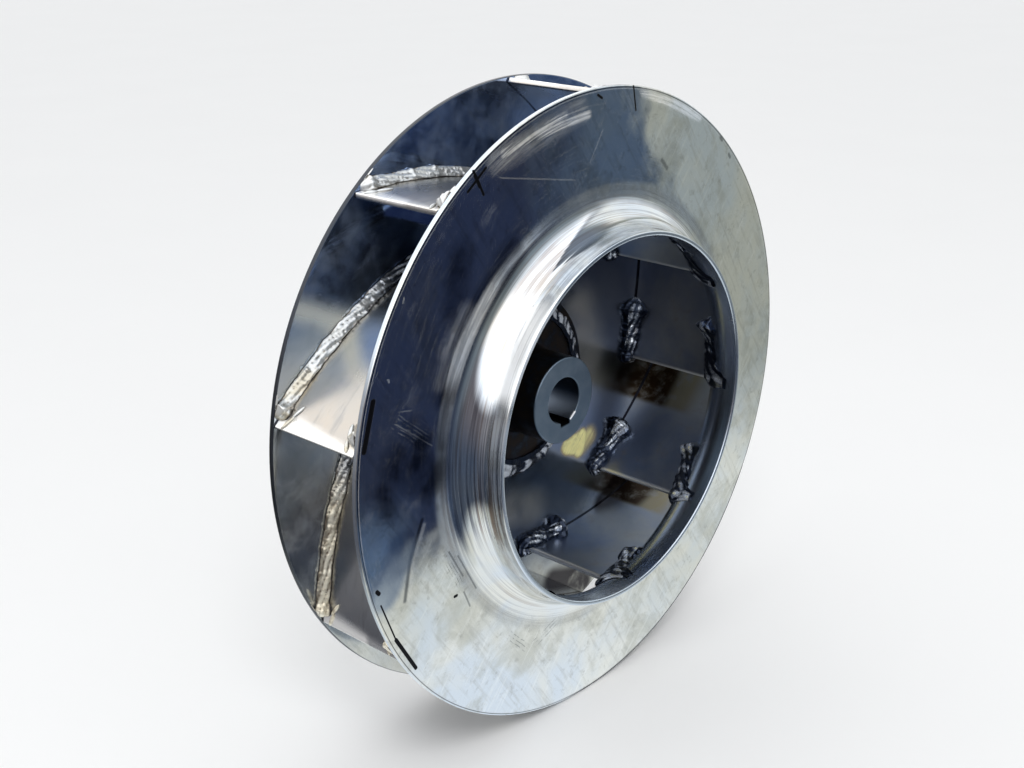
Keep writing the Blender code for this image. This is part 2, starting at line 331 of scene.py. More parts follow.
class Shading:
    """Short calls that add shader nodes to one tree and link them."""

    def __init__(self, tree):
        self.tree = tree
        self.base = None
        tree.nodes.clear()

    def node(self, kind, inputs=None, output=0, **settings):
        """Add a node, fill its inputs and give one of its outputs."""
        made = self.tree.nodes.new(kind)
        for key, value in settings.items():
            setattr(made, key, value)
        for key, value in (inputs or {}).items():
            self.put(made.inputs[key], value)
        return Signal(self, made.outputs[output]) if len(made.outputs) else None

    def put(self, socket, value):
        """Link a signal to a socket, or set a plain value. Colours are red, green and blue."""
        if isinstance(value, Signal):
            self.tree.links.new(value.socket, socket)
        elif value is not None:
            socket.default_value = (*value, 1.0) if socket.type == "RGBA" else value

    def math(self, operation, first, second=None, clamp=False):
        inputs = {0: first, 1: second}
        return self.node("ShaderNodeMath", inputs, operation=operation, use_clamp=clamp)

    def vector(self, operation, first, second=None):
        output = "Value" if operation in ("LENGTH", "DOT_PRODUCT") else "Vector"
        return self.node("ShaderNodeVectorMath", {0: first, 1: second}, output, operation=operation)

    def scaled(self, vector, factor):
        inputs = {0: vector, "Scale": factor}
        return self.node("ShaderNodeVectorMath", inputs, "Vector", operation="SCALE")

    def join(self, x, y, z):
        return self.node("ShaderNodeCombineXYZ", {0: x, 1: y, 2: z})

    def split(self, vector):
        made = self.node("ShaderNodeSeparateXYZ", {0: vector})
        return [Signal(self, socket) for socket in made.socket.node.outputs]

    def noise(self, vector, scale, detail=3.0, roughness=0.55, distortion=0.0):
        inputs = {
            "Vector": vector, "Scale": scale, "Detail": detail,
            "Roughness": roughness, "Distortion": distortion,
        }
        return self.node("ShaderNodeTexNoise", inputs, noise_dimensions="3D")

    def ramp(self, value, low, high, start=0.0, end=1.0, smooth=True):
        """Map low to start and high to end, held at both ends."""
        kind = "SMOOTHSTEP" if smooth else "LINEAR"
        inputs = dict(enumerate((value, low, high, start, end)))
        return self.node("ShaderNodeMapRange", inputs, interpolation_type=kind, clamp=True)

    def band(self, value, low, high, softness):
        """1 between two limits, with soft edges."""
        half = softness / 2.0
        rise = self.ramp(value, low - half, low + half)
        return rise * self.ramp(value, high - half, high + half, 1.0, 0.0)

    def blend(self, factor, first, second):
        """Mix two colours."""
        inputs = {"Factor": factor, 6: first, 7: second}
        return self.node("ShaderNodeMix", inputs, 2, data_type="RGBA")

    def lerp(self, factor, first, second):
        """Mix two numbers."""
        inputs = {"Factor": factor, 2: first, 3: second}
        return self.node("ShaderNodeMix", inputs, data_type="FLOAT")

    def tint(self, share, tone):
        """Lay a share of another colour over the base colour."""
        self.base = self.blend(share, self.base, tone)


def polar_place(radius, degrees):
    return Vector(wheel_point(radius, math.radians(degrees), 0.0))


class Metal(Shading):
    """A bare metal material: place, polar coordinates, and what its shader is given.

    Haze is the share by which the surface is pale and dull where bare metal mirrors.
    """

    def __init__(self, name):
        self.material = bpy.data.materials.new(name)
        self.material.use_nodes = True
        super().__init__(self.material.node_tree)
        self.rough = self.haze = self.height = None
        self.place = self.node("ShaderNodeTexCoord", output="Object")
        self.x, self.y, self.z = self.split(self.place)
        flat = self.join(self.x, 0.0, self.z)
        self.radius = self.vector("LENGTH", flat)
        self.around = self.vector("NORMALIZE", flat)

    def finish(self):
        """Give all to the shader; the height, in metres, tilts the normal."""
        bump = {"Strength": 1.0, "Distance": 1.0, "Height": self.height}
        shader = self.node("ShaderNodeBsdfPrincipled", {
            "Base Color": self.base,
            "Roughness": self.rough,
            "Metallic": 1.0 - self.haze,
            "Normal": self.node("ShaderNodeBump", bump),
        })
        self.node("ShaderNodeOutputMaterial", {"Surface": shader})
        return self.material

    def attribute(self, name):
        return self.node("ShaderNodeAttribute", output="Fac", attribute_name=name)

    def mottle(self, scale, detail, roughness=0.6, distortion=0.0):
        """Noise all over the metal."""
        return self.noise(self.place, scale, detail, roughness, distortion)

    def wiped(self, stretch, angle=0.0, distortion=0.3):
        """Noise drawn out into strokes, which are turned about the wheel's axis."""
        inputs = {"Vector": self.place, "Angle": angle}
        turned = self.node("ShaderNodeVectorRotate", inputs, rotation_type="Y_AXIS")
        return self.noise(self.vector("MULTIPLY", turned, stretch), 1.0, 4.0, 0.6, distortion)

    def ring_lines(self, across, density, stretch, detail=2.0):
        """Noise drawn out round the wheel's axis; across is the coordinate over the lines."""
        lines = self.join(0.0, across * density, 0.0)
        turned = self.scaled(self.around, stretch)
        return self.noise(self.vector("ADD", turned, lines), 1.0, detail, 0.6)

    def offset_from(self, start, end):
        """The way from a line's start, the share of the line passed, and the way aside."""
        span = end - start
        flat = self.vector("MULTIPLY", self.place, (1.0, 0.0, 1.0))
        offset = self.vector("SUBTRACT", flat, tuple(start))
        along = self.vector("DOT_PRODUCT", offset, tuple(span / span.length_squared))
        across = Vector((span.z, 0.0, -span.x)).normalized()
        return offset, along, self.vector("DOT_PRODUCT", offset, tuple(across))

    def segment(self, start, end, width, softness):
        """1 on a line between two points of the wheel's plane, 0 away from it."""
        offset, along, _ = self.offset_from(start, end)
        passed = self.math("ADD", along, 0.0, clamp=True)
        nearest = self.scaled(tuple(end - start), passed)
        distance = self.vector("LENGTH", self.vector("SUBTRACT", offset, nearest))
        return self.ramp(distance, width, width + softness, 1.0, 0.0)

    def beside(self, start, end, softness):
        """1 on one side of a line in the wheel's plane, 0 on the other."""
        _, _, aside = self.offset_from(start, end)
        return self.ramp(aside, 0.0, softness)

    def hatching(self, start, end, width, pitch):
        """Parallel scratches along a line, in a strip of the wheel's plane."""
        _, along, aside = self.offset_from(start, end)
        ends = self.ramp(along, -0.1, 0.15) * self.ramp(along, 1.1, 0.85)
        sides = self.ramp(self.math("ABSOLUTE", aside), width / 2.0, width / 2.5)
        phase = aside * (2.0 * math.pi / pitch) + self.mottle(55.0, 1.0, 0.55) * 5.0
        lines = self.ramp(self.math("SINE", phase), 0.60, 1.0)
        gaps = self.ramp(self.mottle(170.0, 2.0, 0.55), 0.40, 0.55)
        return lines * gaps * ends * sides

    def marks(self, places, draw=None):
        """The strongest of several marks, drawn as lines or by another of these calls."""
        draw = draw or self.segment
        strongest = None
        for first, first_angle, second, second_angle, *sizes in places:
            drawn = draw(polar_place(first, first_angle), polar_place(second, second_angle), *sizes)
            strongest = strongest | drawn if strongest else drawn
        return strongest


# Shapes

def round_corner(before, corner, after, rounding):
    """Points of the arc that rounds one corner of an outline."""
    corner = Vector(corner)
    first = (Vector(before) - corner).normalized()
    second = (Vector(after) - corner).normalized()
    half = first.angle(second) / 2.0
    bisector = (first + second).normalized()
    centre = corner + bisector * (rounding / math.sin(half))
    reach = rounding / math.tan(half)
    start = corner + first * reach - centre
    end = corner + second * reach - centre
    turn = start.angle_signed(end)
    steps = max(3, round(abs(turn) / math.radians(5.0)))
    swings = [Matrix.Rotation(-turn * step / steps, 2) for step in range(steps + 1)]
    return [tuple(centre + swing @ start) for swing in swings]


def rounded_outline(corners):
    """A closed outline from (radius, y, rounding) corners, with straight runs divided."""
    count = len(corners)
    arcs = []
    for index, (radius, y, rounding) in enumerate(corners):
        before = corners[index - 1][:2]
        after = corners[(index + 1) % count][:2]
        arcs.append(round_corner(before, (radius, y), after, rounding))
    outline = []
    for index, arc in enumerate(arcs):
        outline += arc
        start = Vector(arc[-1])
        end = Vector(arcs[(index + 1) % count][0])
        pieces = max(1, math.ceil((end - start).length / PROFILE_SPACING))
        outline += [tuple(start.lerp(end, step / pieces)) for step in range(1, pieces)]
    return outline


def sheet_wave(x, z):
    """How far a polished sheet stands off its plane, in metres."""
    slow = 0.00022 * wobble(x * 9.0, 0.0, z * 9.0)
    quick = 0.00005 * wobble(x * 24.0, 5.0, z * 24.0)
    return slow + quick


def grid_faces(rows, columns, close_rows=False, close_columns=False):
    """Quads of a grid of points that are numbered row by row."""
    faces = []
    for row in range(rows if close_rows else rows - 1):
        here = row * columns
        below = ((row + 1) % rows) * columns
        for column in range(columns if close_columns else columns - 1):
            other = (column + 1) % columns
            faces.append((here + column, here + other, below + other, below + column))
    return faces


def end_faces(rows, columns):
    """The two faces that close a tube of rows at its ends."""
    last = (rows - 1) * columns
    return [tuple(range(columns))[::-1], tuple(range(last, last + columns))]


def make_piece(name, points, faces, material, node, values):
    """A named, smooth mesh that rides on the wheel and stands for its CAD node."""
    mesh = bpy.data.meshes.new(name)
    mesh.from_pydata([tuple(point) for point in points], [], faces)
    for key, numbers in values.items():
        layer = mesh.attributes.new(key, "FLOAT", "POINT")
        layer.data.foreach_set("value", np.asarray(numbers, np.float32))
    mesh.update()
    mesh.shade_smooth()
    mesh.set_sharp_from_angle(angle=SHARP_ANGLE)
    mesh.materials.append(material)
    piece = add_object(name, mesh)
    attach(piece, "root")
    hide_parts(node)
    return piece


def turned_piece(name, corners, segments, material, node, waves_from=math.inf):
    """Turn an outline with (radius, y, rounding) corners about the wheel's axis."""
    outline = rounded_outline(corners)
    runs = [0.0]
    for first, second in zip(outline, outline[1:]):
        runs.append(runs[-1] + math.dist(first, second))
    points = []
    for step in range(segments):
        angle = 2.0 * math.pi * step / segments
        for radius, y in outline:
            x, _, z = wheel_point(radius, angle, y)
            if radius > waves_from:
                y += min(1.0, (radius - waves_from) / WAVES_GROW_OVER) * sheet_wave(x, z)
            points.append((x, y, z))
    faces = grid_faces(segments, len(outline), close_rows=True, close_columns=True)
    return make_piece(name, points, faces, material, node, {"run": runs * segments})


def outer_face_y(radius):
    """The shroud's outer face, as if its cone ran on to the axis."""
    return SHROUD_RIM_Y - CONE_SLOPE * (WHEEL_RADIUS - radius)


def inner_cone_y(radius):
    return outer_face_y(radius) + SHEET * math.sqrt(1.0 + CONE_SLOPE**2)


FILLET_RADIUS_PLACE = NECK_RADIUS + NECK_FILLET
FILLET_Y = outer_face_y(FILLET_RADIUS_PLACE) - NECK_FILLET * math.sqrt(1.0 + CONE_SLOPE**2)


def inner_face_y(radius):
    """The shroud's inner face, which blades and beads meet."""
    reach = FILLET_RADIUS_PLACE - radius
    outer = NECK_FILLET + SHEET
    if reach <= outer * math.sin(math.atan(CONE_SLOPE)):
        return inner_cone_y(radius)
    return FILLET_Y + math.sqrt(max(0.0, outer**2 - reach**2))


def make_shroud(material):
    inner = NECK_RADIUS - SHEET
    corners = [
        (WHEEL_RADIUS, inner_cone_y(WHEEL_RADIUS), RIM_ROUNDING),
        (WHEEL_RADIUS, SHROUD_RIM_Y, RIM_ROUNDING),
        (NECK_RADIUS, outer_face_y(NECK_RADIUS), NECK_FILLET),
        (NECK_RADIUS, LIP_Y, LIP_ROUNDING),
        (inner, LIP_Y, LIP_ROUNDING),
        (inner, inner_cone_y(inner), NECK_FILLET + SHEET),
    ]
    turned_piece(
        "spun_shroud", corners, RING_SEGMENTS, material, "front_shroud",
        SHROUD_WAVES_FROM,
    )


def make_back_plate(material):
    corners = [
        (HUB_BOSS_RADIUS, BACK_FRONT_Y, RIM_ROUNDING),
        (HUB_BOSS_RADIUS, BACK_REAR_Y, RIM_ROUNDING),
        (WHEEL_RADIUS, BACK_REAR_Y, RIM_ROUNDING),
        (WHEEL_RADIUS, BACK_FRONT_Y, RIM_ROUNDING),
    ]
    turned_piece(
        "flat_back_plate", corners, RING_SEGMENTS, material, "back_plate",
        PLATE_WAVES_FROM,
    )


def make_hub_disc(material):
    corners = [
        (HUB_BOSS_RADIUS, HUB_DISC_FRONT_Y, RIM_ROUNDING),
        (HUB_BOSS_RADIUS, BACK_FRONT_Y, RIM_ROUNDING),
        (HUB_DISC_RADIUS, BACK_FRONT_Y, RIM_ROUNDING),
        (HUB_DISC_RADIUS, HUB_DISC_FRONT_Y, DISC_ROUNDING),
    ]
    turned_piece(
        "thick_hub_disc", corners, HUB_RING_SEGMENTS, material, "hub_disc"
    )


def make_hub(material):
    flange_rear = HUB_DISC_FRONT_Y
    flange_front = flange_rear - HUB_FLANGE_THICKNESS
    corners = [
        (BORE_RADIUS, HUB_FRONT_Y, HUB_ROUNDING),
        (BORE_RADIUS, HUB_REAR_Y, HUB_ROUNDING),
        (HUB_BOSS_RADIUS, HUB_REAR_Y, HUB_ROUNDING),
        (HUB_BOSS_RADIUS, flange_rear, FLANGE_ROUNDING),
        (HUB_FLANGE_RADIUS, flange_rear, FLANGE_ROUNDING),
        (HUB_FLANGE_RADIUS, flange_front, FLANGE_ROUNDING),
        (HUB_BOSS_RADIUS, flange_front, HUB_FILLET),
        (HUB_BOSS_RADIUS, HUB_FRONT_Y, HUB_CHAMFER),
    ]
    cut_keyway(
        turned_piece("turned_hub", corners, HUB_RING_SEGMENTS, material, "hub")
    )


def cut_keyway(hub):
    """Cut the keyway with a bar that starts inside the bore."""
    inner = BORE_RADIUS / 2.0
    outer = BORE_RADIUS + KEYWAY_DEPTH
    half = KEYWAY_WIDTH / 2.0
    margin = 0.002
    points = []
    for y in (HUB_FRONT_Y - margin, HUB_REAR_Y + margin):
        for along, across in ((inner, -half), (outer, -half), (outer, half), (inner, half)):
            angle = KEYWAY_ANGLE + math.atan2(across, along)
            points.append(wheel_point(math.hypot(along, across), angle, y))
    faces = [(0, 1, 2, 3), (7, 6, 5, 4)]
    faces += [(4 + side, 4 + (side + 1) % 4, (side + 1) % 4, side) for side in range(4)]
    mesh = bpy.data.meshes.new("keyway_bar")
    mesh.from_pydata(points, [], faces)
    bar = add_object("keyway_bar", mesh)
    cut = hub.modifiers.new("keyway", "BOOLEAN")
    cut.operation = "DIFFERENCE"
    cut.solver = "EXACT"
    cut.object = bar
    bpy.context.view_layer.update()
    evaluated = hub.evaluated_get(bpy.context.evaluated_depsgraph_get())
    result = bpy.data.meshes.new_from_object(evaluated)
    hub.modifiers.clear()
    hub.data = result
    bpy.data.objects.remove(bar)
    result.shade_smooth()
    result.set_sharp_from_angle(angle=HUB_SHARP_ANGLE)


class BladePlan:
    """One blade's arc in the wheel's plane, with its leading end at angle 0."""

    def __init__(self):
        lead = (BLADE_LEAD_RADIUS, 0.0)
        tip = (BLADE_TIP_RADIUS * math.cos(BLADE_SWEEP), BLADE_TIP_RADIUS * math.sin(BLADE_SWEEP))
        chord = math.dist(lead, tip)
        along = ((tip[0] - lead[0]) / chord, (tip[1] - lead[1]) / chord)
        depth = math.sqrt(BLADE_ARC_RADIUS**2 - (chord / 2.0) ** 2)
        self.centre = (
            (lead[0] + tip[0]) / 2.0 - along[1] * depth,
            (lead[1] + tip[1]) / 2.0 + along[0] * depth,
        )
        self.start = math.atan2(lead[1] - self.centre[1], lead[0] - self.centre[0])
        self.length = BLADE_ARC_RADIUS * 2.0 * math.asin(chord / 2.0 / BLADE_ARC_RADIUS)

    def polar(self, distance, offset):
        """Radius and angle of a point, by its distance along the arc and offset outward."""
        turn = self.start + distance / BLADE_ARC_RADIUS
        along = self.centre[0] + (BLADE_ARC_RADIUS + offset) * math.cos(turn)
        across = self.centre[1] + (BLADE_ARC_RADIUS + offset) * math.sin(turn)
        return math.hypot(along, across), math.atan2(across, along)


plan = BladePlan()


def clamped(value):
    return max(0.0, min(1.0, value))


def blade_levels():
    """Shares of the blade's width, closer together beside the welds."""
    edge = [0.0, 0.010, 0.022, 0.038, 0.06, 0.09, 0.13, 0.17, 0.22]
    middle = [0.29, 0.36, 0.43, 0.50]
    lower = edge + middle
    return lower + [1.0 - share for share in reversed(lower[:-1])]


def blade_values(index, share, distance, offset, depth):
    """What the blade's material needs to know at one point."""
    beside = min(share, 1.0 - share)
    gap = beside * abs(depth)
    stitch_end = BEAD_INNER_LENGTH + 0.006
    welded = 1.0 if offset > 0.0 else clamped((stitch_end - distance) / 0.008)
    # Share of the painted highlight along the blade's outer end, kept as the tip value.
    glare = BLADE_GLARE + BLADE_GLARE_SPREAD * (1.0 - share)
    glint = clamped(1.6 - 1.6 * (plan.length - distance) / glare)
    even = share < GLARE_FADES_FROM or index == EVEN_GLARE_BLADE
    return {
        "heat": welded * math.exp(-max(0.0, gap - 0.006) / 0.006),
        "tint": welded * math.exp(-max(0.0, gap - 0.008) / 0.016),
        "seam": 1.0 if beside < 0.012 else 0.0,
        "inside": 1.0 if offset < 0.0 else 0.0,
        "tip": glint * (1.0 if even else FADED_GLARE),
        "lead": 1.0 if distance <= BLADE_EDGE_ROUNDING else 0.0,
    }


def make_blade(index, material):
    """A bent plate whose outline runs up one side and back down the other."""
    number = index + 1
    lead_angle = FIRST_LEAD_ANGLE + index * BLADE_PITCH
    soft = BLADE_EDGE_ROUNDING
    half = BLADE_HALF
    side = [(0.0, half - soft), (0.3 * soft, half - 0.3 * soft), (soft, half)]
    side += [(plan.length * step / BLADE_STEPS, half) for step in range(1, BLADE_STEPS)]
    side += [(plan.length - distance, offset) for distance, offset in reversed(side[:3])]
    loop = side + [(distance, -offset) for distance, offset in reversed(side)]
    levels = blade_levels()
    points = []
    found = []
    for share in levels:
        for distance, offset in loop:
            bend = BLADE_WAVE * wobble(distance * 16.0, share * 1.7, index * 3.1)
            radius, angle = plan.polar(distance, offset + bend)
            depth = inner_face_y(radius) - BLADE_GAP - BACK_FRONT_Y
            points.append(wheel_point(radius, lead_angle + angle, BACK_FRONT_Y + share * depth))
            found.append(blade_values(index, share, distance, offset, depth))
    count = len(loop)
    faces = grid_faces(len(levels), count, close_columns=True)
    top = (len(levels) - 1) * count
    for item in range(len(side) - 1):
        opposite = count - 1 - item
        faces.append((item, item + 1, opposite - 1, opposite)[::-1])
        faces.append((top + item, top + item + 1, top + opposite - 1, top + opposite))
    values = {key: [point[key] for point in found] for key in found[0]}
    make_piece(
        f"bent_blade_{number}", points, faces, material, f"blade_{number}", values
    )


class BeadLumps:
    """The uneven surface of one bead: overlapping droplets, slow wander and odd lumps."""

    def __init__(self, length, pitch, chance, fill=1.0):
        self.seed = chance.uniform(0.0, 90.0)
        self.lean = 1.1 * pitch
        self.droplets = []
        place = -pitch
        while place < length + pitch:
            place += pitch * chance.uniform(0.65, 1.35)
            reach = fill * pitch * chance.uniform(0.75, 1.15)
            self.droplets.append((place, reach, chance.uniform(0.5, 1.0)))
        self.knobs = []
        for _ in range(int(length / KNOB_SPACING)):
            middle = (chance.uniform(0.0, length), chance.uniform(0.15, 0.85))
            self.knobs.append((*middle, chance.uniform(0.0011, 0.0024), chance.uniform(0.05, 0.16)))

    def swell(self, runs, braid):
        """Growth of each section point, as a share of the leg, and how deep it lies.

        braid is 1 where strands run along the bead and 0 where it is made of round drops.
        """
        shares = np.linspace(0.0, 1.0, BEAD_POINTS)
        braid = np.broadcast_to(braid, runs.shape)[:, None]
        along = runs[:, None]

        def wander(scale, second, third):
            """Noise that changes along the bead alone."""
            return np.array([wobble(run * scale, second, third) for run in runs])[:, None]

        def ripple(scale, across, third):
            """Noise that changes along and across the bead."""
            return np.array([
                [wobble(run * scale, share * across, third) for share in shares] for run in runs
            ])

        caps = np.zeros((len(runs), BEAD_POINTS))
        bent = along + self.lean * (2.0 * shares - 1.0) ** 2
        for place, reach, size in self.droplets:
            inside = 1.0 - ((bent - place) / reach) ** 2
            caps = np.maximum(caps, size * np.sqrt(np.clip(inside, 0.0, 1.0)))
        drift = 0.45 * wander(22.0, self.seed + 3.0, 0.0) + 0.2 * wander(75.0, self.seed, 9.0)
        phase = STRANDS_ACROSS * shares + along / STRAND_LENGTH + drift
        strands = np.sqrt(1.0 - (2.0 * (phase % 1.0) - 1.0) ** 2)
        swell = (0.30 - 0.20 * braid) * (caps - 0.75) + (0.02 + 0.17 * braid) * (strands - 0.75)
        caps = caps + 0.75 * braid * (strands - caps)
        for place, share, reach, size in self.knobs:
            away = ((along - place) / reach) ** 2 + ((shares - share) / 0.2) ** 2
            swell += size * np.exp(-away)
        swell += 0.13 * wander(70.0, self.seed, 0.0)
        swell += 0.15 * ripple(45.0, 3.2, self.seed + 7.0)
        swell += 0.055 * ripple(420.0, 5.0, self.seed)
        caps[:, (0, -1)] = 0.0
        caps[:, (1, -2)] *= 0.4
        return swell, caps


def bead_surface(legs, swell):
    """Across each section: offset from the blade and height over the plate, in metres."""
    shares = np.linspace(0.0, 1.0, BEAD_POINTS)
    fat = np.clip((legs / BEAD_LEG - 1.0) / 0.3, 0.0, 1.0)[:, None]
    power = BEAD_ROUNDNESS - 0.45 * fat
    lean = np.sin(shares * math.pi / 2.0) ** power
    rise = np.maximum(np.cos(shares * math.pi / 2.0), 0.0) ** power
    size = legs[:, None] * (1.0 + swell)
    return size * lean, size * rise


def section_points(lean, rise):
    """The points of one section, closed by a point that lies behind the surfaces."""
    return [*zip(lean, rise), (-BEAD_SUNK, -BEAD_SUNK)]


def end_cap(runs, end, reach):
    """How much of a bead's size is left near one of its ends."""
    inside = np.clip(np.abs(end - runs) / reach, 0.0, 1.0)
    return np.sqrt(np.clip(1.0 - (1.0 - inside) ** 2, 0.0, 1.0))


def bump_at(runs, place, reach):
    """1 at one place along a bead, fading on both sides."""
    return np.exp(-(((runs - place) / reach) ** 2))


def bead_route():
    """Points round a blade, each with distance, offset and the outward direction, and runs."""
    half = BLADE_HALF
    spacing = BEAD_SECTION_SPACING
    outer = np.arange(plan.length - BEAD_TIP_STOP, 0.0, -spacing)
    turn_run = math.pi * (half + BEAD_WRAP_LEG / 2.0)
    turns = np.linspace(0.0, math.pi, int(turn_run / spacing) + 1)
    inner = np.arange(spacing, BEAD_INNER_LENGTH, spacing)
    route = [(distance, half, 0.0, 1.0) for distance in outer]
    route += [(-0.0004 * math.sin(a), half * math.cos(a), -math.sin(a), math.cos(a)) for a in turns]
    route += [(distance, -half, 0.0, -1.0) for distance in inner]
    runs = np.concatenate([
        np.arange(len(outer)) * spacing,
        len(outer) * spacing + turns / math.pi * turn_run,
        (len(outer) + 1 + np.arange(len(inner))) * spacing + turn_run,
    ])
    return route, runs


def route_legs(route, runs):
    """The bead's leg along its route, fat on the outer side and at the inner end."""
    legs = []
    for _, offset, spread_along, spread_out in route:
        if spread_along < 0.0:
            side = BEAD_LEG if spread_out > 0.0 else BEAD_INNER_LEG
            legs.append(BEAD_WRAP_LEG + (side - BEAD_WRAP_LEG) * abs(spread_out))
        else:
            legs.append(BEAD_LEG if offset > 0.0 else BEAD_INNER_LEG)
    last = runs[-1]
    legs = np.array(legs) + (BEAD_END_LEG - BEAD_INNER_LEG) * bump_at(runs, last - 0.0130, 0.0084)
    legs *= 1.0 + 0.40 * bump_at(runs, 0.008, 0.006)
    return legs * end_cap(runs, last, 0.0150) * end_cap(runs, runs[0], 0.005)


def bead_point(distance, offset, up, lead_angle, at_shroud):
    """A point beside a blade, at a height over the back plate or the shroud."""
    radius, angle = plan.polar(distance, offset)
    radius = min(radius, WHEEL_RADIUS - BEAD_RIM_GAP)
    y = inner_face_y(radius) + up if at_shroud else BACK_FRONT_Y - up
    return wheel_point(radius, lead_angle + angle, y)


def facing_out(points, faces):
    """The faces of a closed shape, turned to face outward."""
    volume = 0.0
    for face in faces:
        first = Vector(points[face[0]])
        for second, third in zip(face[1:], face[2:]):
            volume += first.dot(Vector(points[second]).cross(Vector(points[third])))
    return faces if volume > 0.0 else [face[::-1] for face in faces]


def tip_drops(lead_angle, at_shroud, chance):
    """Splashes beside a bead's outer end: drawn-out drops on the plate and on the blade."""
    points = []
    faces = []
    for back, aside, on_blade, tilt in SPLASHES:
        half_length = chance.uniform(0.0055, 0.0085)
        half_width = chance.uniform(0.0017, 0.0025)
        lean = -tilt * chance.uniform(0.7, 1.3)
        drop = []
        for row in range(SPLASH_ROWS):
            swing = math.radians(80.0) * (2.0 * row / (SPLASH_ROWS - 1) - 1.0)
            along = half_length * math.sin(swing)
            reach = half_width * math.cos(swing)
            for column in range(SPLASH_COLUMNS):
                turn = 2.0 * math.pi * column / SPLASH_COLUMNS
                across = reach * math.cos(turn)
                above = 0.7 * reach * math.sin(turn) + 0.3 * half_width
                distance = plan.length - back + along * math.cos(lean) - across * math.sin(lean)
                beside = aside + along * math.sin(lean) + across * math.cos(lean)
                out, up = (above, beside) if on_blade else (beside, above)
                drop.append(bead_point(distance, BLADE_HALF + out, up, lead_angle, at_shroud))
        shell = grid_faces(SPLASH_ROWS, SPLASH_COLUMNS, close_columns=True)
        shell = facing_out(drop, shell + end_faces(SPLASH_ROWS, SPLASH_COLUMNS))
        faces += [tuple(len(points) + item for item in face) for face in shell]
        points += drop
    return points, faces


def close_bead(name, rings, material, node, caps, sunk_first, ring=False, drops=((), ())):
    """Join all sections of a bead, with loose drops after them."""
    rows = len(rings)
    columns = len(rings[0])
    points = [point for section in rings for point in section]
    faces = grid_faces(rows, columns, close_rows=ring, close_columns=True)
    if not ring:
        faces += end_faces(rows, columns)
    faces += [tuple(len(points) + item for item in face) for face in drops[1]]
    points += drops[0]
    toes = np.zeros_like(caps)
    toes[:, (0, -1)] = 1.0
    toes[:, (1, -2)] = 0.5
    values = {}
    for key, numbers, on_drops in (("cap", caps, 0.9), ("toe", toes, 0.0)):
        numbers = np.hstack([numbers, numbers[:, -1:]])
        numbers = (numbers[:, ::-1] if sunk_first else numbers).ravel()
        values[key] = np.append(numbers, np.full(len(drops[0]), on_drops))
    make_piece(name, points, faces, material, node, values)


def make_blade_bead(index, at_shroud, material):
    """The bead of one blade at the back plate or at the shroud."""
    chance = random.Random(100 * index + (50 if at_shroud else 0) + 3)
    lead_angle = FIRST_LEAD_ANGLE + index * BLADE_PITCH
    route, runs = bead_route()
    lumps = BeadLumps(runs[-1], BEAD_PITCH, chance)
    braid = np.array([0.55 + 0.45 * max(0.0, spread_out) for _, _, _, spread_out in route])
    swell, caps = lumps.swell(runs, braid)
    lean, rise = bead_surface(route_legs(route, runs), swell)
    rings = []
    for row, (distance, offset, spread_along, spread_out) in enumerate(route):
        section = [
            bead_point(
                distance + out * spread_along, offset + out * spread_out, up, lead_angle, at_shroud
            )
            for out, up in section_points(lean[row], rise[row])
        ]
        rings.append(section if at_shroud else section[::-1])
    kind = "shroud" if at_shroud else "back"
    name = f"{kind}_bead_{index + 1}"
    node = f"{kind}_weld_{index + 1}"
    drops = tip_drops(lead_angle, at_shroud, chance)
    close_bead(name, rings, material, node, caps, not at_shroud, drops=drops)


def make_ring_bead(name, node, radius, base_y, facing, leg, height, pitch, extra, material):
    """A round bead on the hub. facing is -1 where it stands towards the inlet.

    extra is the share by which the bead is wider where it is widest.
    """
    chance = random.Random(name)
    length = 2.0 * math.pi * radius
    count = int(length / HUB_BEAD_SECTION_SPACING)
    runs = np.arange(count) * length / count
    swell, caps = BeadLumps(length, pitch, chance, 0.72).swell(runs, 0.0)
    ease = np.clip(runs / 0.01, 0.0, 1.0)[:, None]
    swell = ease * swell + (1.0 - ease) * swell[-1:, :]
    near_widest = np.exp(2.0 * (np.cos(runs / radius - HUB_BEAD_WIDEST) - 1.0))
    lean, rise = bead_surface(np.full(count, leg), swell)
    lean *= (1.0 + extra * near_widest)[:, None]
    rise *= height / leg
    furthest = HUB_DISC_RADIUS - HUB_BEAD_EDGE_GAP
    rings = []
    for row in range(count):
        angle = 2.0 * math.pi * row / count
        section = [
            wheel_point(min(radius + out, furthest), angle, base_y + facing * up)
            for out, up in section_points(lean[row], rise[row])
        ]
        rings.append(section if facing > 0.0 else section[::-1])
    close_bead(name, rings, material, node, caps, facing < 0.0, ring=True)


# Materials

